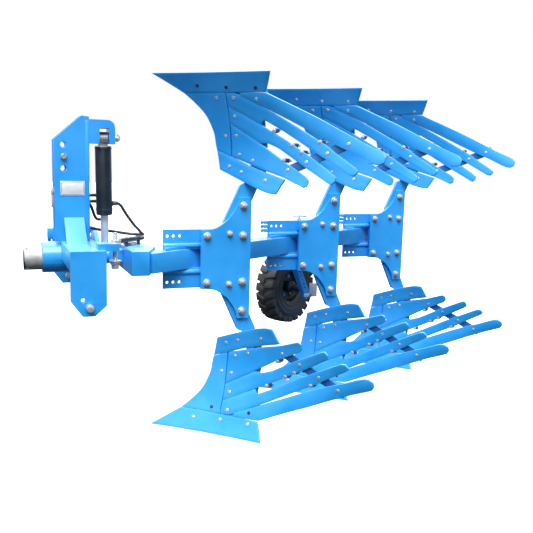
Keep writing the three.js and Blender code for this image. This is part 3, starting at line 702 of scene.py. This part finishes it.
# Main beam, turnover head and crossbeam: heavy rolled tube and block, welded and
# sprayed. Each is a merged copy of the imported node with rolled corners.
STEEL = finish("bare_steel", (0.42, 0.42, 0.4), (0.6, 0.6, 0.57), 0.42, metal=0.85, cloud=30,
               grain=600, depth=0.3, spread=0.1, dirt=((0.3, 0.25, 0.2), 60, 0.62))
refine("main_beam", "plough_frame", BLUE, 5)
refine("swing_head", "turnover_head", BLUE, 2)
refine("headstock_crossbeam", "headstock", BLUE, 5)
refine("beam_pivot_pin", "plough_frame", STEEL, 3)

# Turnover shaft and its slotted lock nut: cast and turned steel left unpainted, pale
# grey with dull patches. A black disc with a rim sits in the hollow front end as painted shade.
PALE_STEEL = finish("pale_cast_steel", (0.45, 0.46, 0.43), (0.62, 0.63, 0.6), 0.55, metal=0.45,
                    cloud=25, grain=350, depth=0.6, spread=0.1, dirt=((0.25, 0.22, 0.18), 45, 0.6))
refine("turnover_shaft", "turnover_head", PALE_STEEL, 2)
refine("shaft_lock_nut", "turnover_head", PALE_STEEL, 2)
BLACK = finish("black_enamel", (0.013, 0.019, 0.026), (0.022, 0.03, 0.04), 0.33, coat=0.15,
               cloud=12, grain=500, depth=0.2)


def fitted(models, name, material, body):
    """Joins the models into one named piece with its finish and body."""
    piece = painted(joined(models), material)
    piece.name = piece.data.name = name
    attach(piece, body)
    return piece


def ring(radius, wire, place, axis):
    """A round wire ring about the given axis."""
    bpy.ops.object.select_all(action="DESELECT")
    bpy.ops.mesh.primitive_torus_add(major_radius=radius * MM, minor_radius=wire * MM,
                                     major_segments=32, minor_segments=10)
    model = bpy.context.object
    model.data.transform(Matrix.Translation(place) @ turned_to(axis))
    bpy.ops.object.shade_smooth_by_angle(angle=math.radians(60))
    return model


# Painted shade: a black disc and rim stand for the dark inside of the hollow shaft end.
fitted([
    cylinder(41, 3, 48, at(-967, 150, 0), REARWARD, bevel=1),
    ring(46, 2.2, at(-964.5, 150, 0), REARWARD),
], "shaft_end_painted_shade", BLACK, "turnover_head")

# Turnover cylinder: black painted tube with a ringed gland and a grey forged eye; the
# rod is hard chromed and ends in an eye on the crank pin.
EYE_AT = at(-620, 150, 538)
RAM_TILT = math.radians(7.125)
RAM_LEAN = math.radians(-1.776)
RAM = (
    Matrix.Translation(EYE_AT)
    @ Matrix.Rotation(RAM_TILT, 4, "X")
    @ Matrix.Rotation(RAM_LEAN, 4, "Y")
)
RAM_AXIS = (RAM.to_3x3() @ Vector((0, 0, 1))).normalized()
CHROME = finish("hard_chrome", (0.82, 0.84, 0.86), (0.9, 0.91, 0.92), 0.2, metal=0.35, cloud=40,
                grain=1200, depth=0.05, spread=0.04)
EYE_END = 35
BANDS = ((38.2, 5, 44, 2), (37.4, 3, 206, 1), (38, 14, 322, 3))
NEAR_PORT = 295.6
FAR_PORT = 310.5
barrel = refine("cylinder_barrel", "ram_barrel", BLACK, 1.5, segments=2, angle=50)
barrel.data.materials.append(STEEL)
for face in barrel.data.polygons:
    if (RAM.inverted() @ face.center).z > -EYE_END * MM:
        face.material_index = 1
refine("cylinder_rod", "ram_rod", CHROME, 1, segments=2, angle=50)


def ram_ring(radius, height, along, side=0, across=0, sides=40, bevel=1.0, axis=None):
    """A turned ring or boss on the cylinder, this far down its line from the eye."""
    place = RAM @ (Vector((side, across, -along)) * MM)
    return cylinder(radius, height, sides, place, axis or RAM_AXIS, bevel=bevel)


fitted([ram_ring(17.5, 168, 424, bevel=3), ram_ring(20, 10, 503, bevel=3)], "rod_shaft", CHROME,
       "ram_rod")
port_axis = (RAM.to_3x3() @ Vector((1, 0, 0))).normalized()
far_axis = (RAM.to_3x3() @ Vector((0, 1, 0))).normalized()
bands = [ram_ring(radius, height, along, bevel=bevel) for radius, height, along, bevel in BANDS]
boss = ram_ring(13, 6, NEAR_PORT, side=37, axis=port_axis, bevel=1.5)
fitted([*bands, boss], "barrel_rings", BLACK, "ram_barrel")
fitted([
    ram_ring(11.5, 9, NEAR_PORT, side=47.5, axis=port_axis, sides=6, bevel=1.2),
    ram_ring(9.2, 12, NEAR_PORT, side=56, axis=port_axis, bevel=1.5),
    ram_ring(11.5, 8, FAR_PORT, across=41, axis=far_axis, sides=6, bevel=1.2),
    ram_ring(9.2, 12, FAR_PORT, across=50, axis=far_axis, bevel=1.5),
], "hose_fittings", BLACK, "ram_barrel")

# Hitch pins: bright turned pins for the tractor's links. Each lower pin shows as a smooth
# sleeve on both sides of its plate. A washer and a spring clip hold the cylinder's eye pin.
ACROSS = Vector((0, 1, 0))
LINK_PIN_X = -740
LINK_PIN_Z = -141
LINK_PIN = 15
SLEEVE_ENDS = ((-301.5, -263), (-237, -204), (504, 537), (563, 601.5))
refine("top_link_pin", "headstock", STEEL, 2)
sleeves = []
for low_y, high_y in SLEEVE_ENDS:
    place = at(LINK_PIN_X, (low_y + high_y) / 2, LINK_PIN_Z)
    sleeves.append(cylinder(LINK_PIN, high_y - low_y, 40, place, ACROSS, bevel=3))
fitted(sleeves, "link_pin_sleeves", ZINC, "headstock")
fitted([
    cylinder(24, 4, 32, at(-571, 150, 538), REARWARD, bevel=1),
    cylinder(13, 20, 24, at(-562, 150, 538), REARWARD, bevel=2),
    ring(15, 2.2, at(-560, 152, 541), Vector((0.3, 1, 0.2)).normalized()),
    ring(7, 2, at(-556, 150, 556), REARWARD),
], "eye_pin_clip", ZINC, "headstock")

# Mast: two flame cut plates welded to the crossbeam. The near one is folded along its rear
# edge, which leaves a raised bead, and carries a bare riveted plate and a lifting tab.
NAMEPLATE = finish("bare_nameplate", (0.8, 0.82, 0.84), (0.88, 0.89, 0.9), 0.35, metal=0.25,
                   cloud=40, grain=900, depth=0.1, dirt=((0.5, 0.52, 0.55), 60, 0.66))


def block(low, high, bevel):
    """A plate or block between two corners, with broken edges."""
    bpy.ops.object.select_all(action="DESELECT")
    low, high = at(*low), at(*high)
    bpy.ops.mesh.primitive_cube_add(size=1, location=(0, 0, 0))
    model = bpy.context.object
    model.data.transform(Matrix.Translation((low + high) / 2) @ Matrix.Diagonal((*(high - low), 1)))
    round_edges(model, bevel, CORNER)
    bpy.ops.object.shade_smooth_by_angle(angle=SMOOTH)
    return model


fitted([block((-704, 96.5, 88), (-688, 101, 610), 2.2)], "mast_fold", BLUE, "headstock")
rivet = cylinder(3, 3, 16, at(0, 97.2, 0), ACROSS, bevel=1)
fitted([
    block((-811, 97.6, 285), (-708, 100.2, 348), 0.8),
    *repeated(rivet, [moved(x, 0, z) for x in (-805, -714) for z in (291, 342)]),
], "blank_nameplate", NAMEPLATE, "headstock")
fitted([
    block((-807, 97.1, 344), (-712, 98.5, 345.5), 0.4),
    block((-807, 97.1, 287.5), (-712, 98.5, 289), 0.4),
    block((-808, 97.1, 288), (-806.5, 98.5, 345), 0.4),
    block((-712.5, 97.1, 288), (-711, 98.5, 345), 0.4),
], "nameplate_border", BLACK, "headstock")
fitted([
    block((-847, 140, 230), (-835.5, 148, 317), 2),
    cylinder(9, 5, 24, at(-841, 138, 300), ACROSS, bevel=1),
], "mast_tab", PALE_STEEL, "headstock")

# Crossbeam lugs: a block with a small foot in front of it, cut from thick plate and
# welded to the front of the crossbeam near its far end.
fitted([
    block((-836, 508, 46), (-792, 556, 101), 4),
    block((-836, 520, 20), (-820, 550, 48), 3),
], "crossbeam_lugs", BLUE, "headstock")

# Side adjuster: a long zinc plated bolt stands through the near shelf of the crossbeam,
# with a nut above and a wide collar and lock nut below. Its thread is a row of rings.
THREADS = 31
THREAD_PITCH = 4
thread = ring(8.6, 1.2, at(-627, -200, 20), UPWARD)
fitted([
    cylinder(8.6, 150, 20, at(-627, -200, 78), UPWARD, bevel=1.5),
    cylinder(20, 12, 6, at(-627, -200, 116), UPWARD, bevel=1.5),
    cylinder(24, 4, 28, at(-627, -200, 108.5), UPWARD, bevel=1),
    cylinder(22, 13, 6, at(-627, -200, 27), UPWARD, bevel=1.5),
    cylinder(26, 5, 28, at(-627, -200, 36), UPWARD, bevel=1),
    cylinder(17, 16, 6, at(-627, -200, 11), UPWARD, bevel=1.5),
    *repeated(thread, [moved(0, 0, k * THREAD_PITCH) for k in range(THREADS)]),
], "side_adjuster", ZINC, "headstock")

# Hose coupler: a black painted steel tube with a gilt end cap, held by two clips on the
# head block beside the pivot pin.
GILT = finish("gilt_zinc", (0.55, 0.42, 0.2), (0.72, 0.6, 0.35), 0.3, metal=0.9, cloud=90,
              grain=900, depth=0.2)
GLOSS = finish("gloss_black", (0.01, 0.01, 0.012), (0.02, 0.021, 0.024), 0.16, coat=0.6,
               cloud=30, grain=700, depth=0.1, spread=0.04)
COUPLER_FROM = at(-432, 188, 86)
COUPLER_TO = at(-566, 58, 86)
coupler_way = (COUPLER_TO - COUPLER_FROM).normalized()


def on_coupler(radius, share, length, sides=32, bevel=1.5):
    """A turned piece on the coupler's line, at a share of its length."""
    place = COUPLER_FROM.lerp(COUPLER_TO, share)
    return cylinder(radius, length, sides, place, coupler_way, bevel=bevel)


fitted([
    on_coupler(11.5, 0.5, 170),
    on_coupler(13, 0.22, 16, bevel=2),
    on_coupler(13, 0.7, 12, bevel=2),
    block((-466, 152, 56.5), (-452, 172, 84), 2),
    block((-534, 84, 56.5), (-520, 106, 84), 2),
], "hose_coupler", GLOSS, "turnover_head")
fitted([on_coupler(9, 0.97, 14, sides=6), on_coupler(10.5, 0.02, 8)], "coupler_cap", GILT,
       "turnover_head")

# Mast elbows: two short black hose elbows with hexagon nuts, screwed side by side into
# a block between the mast and the cylinder.
elbow = joined([
    cylinder(8, 44, 20, at(-672, 150, 285), REARWARD, bevel=2),
    cylinder(11, 12, 6, at(-686, 150, 285), REARWARD, bevel=1.5),
])
fitted([
    *repeated(elbow, [moved(0, 0, 0), moved(0, 0, -27)]),
    block((-704, 119, 246), (-690, 166, 298), 3),
], "mast_elbows", GLOSS, "headstock")

# Width adjusters: threaded steel rods, each with three nuts, at the end of the middle and
# rear carrier channels. A T-handled locking pin stands on the middle carrier.
rod = cylinder(7.5, 50, 20, at(-386, 47, 0), REARWARD, bevel=1)
nut = cylinder(11, 9, 6, at(-386, 47, 0), REARWARD, bevel=1.2)
adjuster = joined([rod, *repeated(nut, [moved(step, 0, 0) for step in (-18, -2, 10)])])
rows = []
for index in (1, 2):
    rows += [Matrix.Translation(STATION_STEP * index) @ moved(0, 0, z) for z in (127, 105, 83)]
fitted(repeated(adjuster, rows), "width_adjusters", BLUE, "plough_frame")
handle_at = at(-180, 58, 137) + STATION_STEP
fitted([
    cylinder(7, 36, 20, handle_at + UPWARD * 10 * MM, UPWARD, bevel=1),
    cylinder(6, 84, 20, handle_at + UPWARD * 20 * MM + REARWARD * 4 * MM, REARWARD, bevel=1.5),
    cylinder(13, 8, 6, handle_at + UPWARD * 4 * MM, UPWARD, bevel=1.2),
    ring(8, 2.4, handle_at + UPWARD * 33 * MM, ACROSS),
], "locking_handle", ZINC, "plough_frame")

# Tyre: black rubber moulded round a carcass with bead and shoulder ribs. Its tread is two
# rows of lugs that lean round the tyre and alternate across the middle.
WHEEL_LOW, WHEEL_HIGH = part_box("wheel_tyre")
WHEEL_AT = (WHEEL_LOW + WHEEL_HIGH) / 2
BEAM_YAW = math.atan2(STATION_STEP.y, STATION_STEP.x)
WHEEL_AXIS = Vector((-math.sin(BEAM_YAW), math.cos(BEAM_YAW), 0))
WHEEL = Matrix.Translation(WHEEL_AT) @ turned_to(WHEEL_AXIS)
RUBBER = finish("tyre_rubber", (0.026, 0.026, 0.028), (0.05, 0.05, 0.053), 0.5, cloud=14,
                grain=350, depth=0.5, spread=0.08, dirt=((0.09, 0.085, 0.08), 20, 0.62))
CARCASS = [
    (101.5, -49), (106, -54), (112, -56.5), (116, -55), (120, -55.5), (134, -59), (138, -61),
    (141, -59), (158, -60), (162, -61.5), (165, -60), (184, -57), (196, -51), (203, -44),
    (207, -34), (208, -12), (208, 12), (207, 34), (203, 44), (196, 51), (184, 57), (165, 60),
    (162, 61.5), (158, 60), (141, 59), (138, 61), (134, 59), (120, 55.5), (116, 55), (112, 56.5),
    (106, 54), (101.5, 49),
]
TREAD = 22
LUG_TOP = (220, 216)
LUG_FOOT = (202, 184)
LUG_MIDDLE = 3
LUG_SIDE = (58, 62)
LUG_HALF = (17, 25)
LUG_TAPER = 0.9
LUG_LEAN = 0.05
LUG_EDGE = 3


def lathe(profile, steps):
    """Spins a closed profile of radii and heights about the wheel's axle."""
    bpy.ops.object.select_all(action="DESELECT")
    bpy.ops.mesh.primitive_circle_add(vertices=len(profile), radius=1)
    model = bpy.context.object
    for vertex, (radius, height) in zip(model.data.vertices, profile):
        vertex.co = Vector((radius, 0, height)) * MM
    bpy.ops.object.mode_set(mode="EDIT")
    bpy.ops.mesh.select_all(action="SELECT")
    bpy.ops.mesh.spin(steps=steps, angle=2 * math.pi, center=(0, 0, 0), axis=(0, 0, 1))
    bpy.ops.object.mode_set(mode="OBJECT")
    clean(model)
    model.data.transform(WHEEL)
    return model


def tread_block(side):
    """One lug of a lying wheel: wide at the shoulder, narrow at the middle, and leaning."""
    bpy.ops.object.select_all(action="DESELECT")
    bpy.ops.mesh.primitive_cube_add(size=1)
    lug = bpy.context.object
    for vertex in lug.data.vertices:
        top = vertex.co.x > 0
        shoulder = vertex.co.z > 0
        radius = LUG_TOP[shoulder] if top else LUG_FOOT[shoulder]
        height = LUG_SIDE[top] if shoulder else LUG_MIDDLE
        half = LUG_HALF[shoulder] * (LUG_TAPER if top else 1)
        angle = math.copysign(half, vertex.co.y) / radius + (LUG_LEAN if shoulder else -LUG_LEAN)
        vertex.co = Vector((radius * math.cos(angle), radius * math.sin(angle), height * side)) * MM
    if side < 0:
        lug.data.flip_normals()
    round_edges(lug, LUG_EDGE, CORNER)
    bpy.ops.object.shade_smooth_by_angle(angle=SMOOTH)
    return lug


tyre_parts = [lathe(CARCASS, 96)]
for side, first in ((1, 0), (-1, 0.5)):
    turns = [Matrix.Rotation(2 * math.pi * (k + first) / TREAD, 4, "Z") for k in range(TREAD)]
    tyre_parts += repeated(tread_block(side), [WHEEL @ turn for turn in turns])
tyre = fitted(tyre_parts, "block_tread_tyre", RUBBER, "depth_wheel")
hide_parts("wheel_tyre")

# Rim: pressed steel sheet round a turned hub, painted black. Five gilt zinc studs with
# nuts hold it on the hub's flange.
RIM = [
    (20.5, -45), (30, -47), (34, -44), (35, -8), (50, -6), (84, -12), (90, -20), (91, -44),
    (97, -50), (101, -52), (101, -46), (95, -40), (95, 40), (101, 46), (101, 52), (97, 50),
    (91, 44), (90, 0), (84, 0), (50, 3), (35, 6), (34, 44), (30, 47), (20.5, 45),
]
STUDS = 5
STUD_CIRCLE = 62
FIRST_STUD = 0.3
rim = fitted([lathe(RIM, 72)], "pressed_rim", BLACK, "depth_wheel")
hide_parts("wheel_rim")
stud = joined([
    cylinder(9, 8, 6, WHEEL_AT - WHEEL_AXIS * 14 * MM, WHEEL_AXIS, bevel=1.2),
    cylinder(5, 14, 16, WHEEL_AT - WHEEL_AXIS * 17 * MM, WHEEL_AXIS, bevel=1),
])
moves = []
for k in range(STUDS):
    turn = 2 * math.pi * k / STUDS + FIRST_STUD
    out = Vector((math.cos(turn), math.sin(turn), 0)) * STUD_CIRCLE * MM
    moves.append(Matrix.Translation(WHEEL.to_3x3() @ out))
fitted(repeated(stud, moves), "wheel_studs", GILT, "depth_wheel")

# Axle sleeve: the stub axle through the arm, a turned black steel tube with a shoulder
# and a nut on the near side, and the hub's cap and nut on the far side.
fitted([
    cylinder(21.5, 60, 40, WHEEL_AT - WHEEL_AXIS * 86 * MM, WHEEL_AXIS, bevel=2),
    cylinder(30, 10, 40, WHEEL_AT - WHEEL_AXIS * 58 * MM, WHEEL_AXIS, bevel=3),
    cylinder(15, 18, 6, WHEEL_AT - WHEEL_AXIS * 62 * MM, WHEEL_AXIS, bevel=2),
    cylinder(25, 16, 40, WHEEL_AT + WHEEL_AXIS * 52 * MM, WHEEL_AXIS, bevel=4),
    cylinder(16, 8, 6, WHEEL_AT + WHEEL_AXIS * 62 * MM, WHEEL_AXIS, bevel=2),
], "axle_sleeve", BLACK, "wheel_arm")

# Mud scraper: a strip of galvanised plate on a bent foot, bolted to the wheel arm, whose
# edge stands just clear of the tyre.
fitted([
    block((656, 640, -338), (706, 646, -256), 2),
    block((622, 640, -338), (670, 646, -318), 2),
], "mud_scraper", NAMEPLATE, "wheel_arm")

# Studio: a plain white floor and surround. The light comes from a broad soft source high
# up in front, so faces turned to the ground keep a deep blue.
FLOOR_SIZE = 60
FLOOR_DROP = 0.002
FLOOR_GLOW = 0.85
SUN_STRENGTH = 3.8
SUN_SPREAD = math.radians(40)
SUN_WAY = Vector((0.25, 0.5, -0.83))
SKY_LEVELS = [(0.0, 0.01), (0.46, 0.028), (0.56, 0.225), (0.84, 0.34), (1.0, 1.0)]
SKY_STRENGTHS = (2.6, 6.5)
SKY_REACH = 0.9
bpy.ops.object.select_all(action="DESELECT")
bpy.ops.mesh.primitive_plane_add(size=FLOOR_SIZE, location=(0, 0, -FLOOR_DROP))
floor = bpy.context.object
floor.name = "studio_floor"
studio_white = finish("studio_white", (0.5, 0.5, 0.5), (0.52, 0.52, 0.52), 0.8, cloud=1)
glow = studio_white.node_tree.nodes["Principled BSDF"].inputs
glow["Emission Color"].default_value = (1, 1, 1, 1)
glow["Emission Strength"].default_value = FLOOR_GLOW
floor.data.materials.append(studio_white)
floor.visible_diffuse = False
floor.visible_glossy = False
bpy.ops.object.light_add(type="SUN", location=(0, 0, 4))
sun = bpy.context.object
sun.name = "overhead_softbox"
sun.data.energy = SUN_STRENGTH
sun.data.angle = SUN_SPREAD
sun.rotation_euler = SUN_WAY.to_track_quat("-Z", "Y").to_euler()
world = bpy.data.worlds.new("studio_surround")
bpy.context.scene.world = world
world.use_nodes = True
sky = world.node_tree.nodes
links = world.node_tree.links
ray = sky.new("ShaderNodeTexCoord")
split = sky.new("ShaderNodeSeparateXYZ")
height = sky.new("ShaderNodeMapRange")
height.inputs["From Min"].default_value = -1
height.inputs["From Max"].default_value = 1
levels = sky.new("ShaderNodeValToRGB")
for position, level in SKY_LEVELS[1:-1]:
    levels.color_ramp.elements.new(position)
for element, (position, level) in zip(levels.color_ramp.elements, SKY_LEVELS):
    element.position = position
    element.color = (level, level, level, 1)
around = sky["Background"]
beyond = sky.new("ShaderNodeMapRange")
beyond.inputs["From Min"].default_value = 0
beyond.inputs["From Max"].default_value = SKY_REACH
beyond.inputs["To Min"].default_value = SKY_STRENGTHS[0]
beyond.inputs["To Max"].default_value = SKY_STRENGTHS[1]
behind = sky.new("ShaderNodeBackground")
behind.inputs["Strength"].default_value = 1.0
behind.inputs["Color"].default_value = (1, 1, 1, 1)
seen = sky.new("ShaderNodeLightPath")
choice = sky.new("ShaderNodeMixShader")
links.new(ray.outputs["Generated"], split.inputs["Vector"])
links.new(split.outputs["Z"], height.inputs["Value"])
links.new(split.outputs["Y"], beyond.inputs["Value"])
links.new(beyond.outputs["Result"], around.inputs["Strength"])
links.new(height.outputs["Result"], levels.inputs["Fac"])
links.new(levels.outputs["Color"], around.inputs["Color"])
links.new(seen.outputs["Is Camera Ray"], choice.inputs["Fac"])
links.new(around.outputs["Background"], choice.inputs[1])
links.new(behind.outputs["Background"], choice.inputs[2])
links.new(choice.outputs["Shader"], sky["World Output"].inputs["Surface"])
bpy.context.scene.view_settings.view_transform = "Standard"
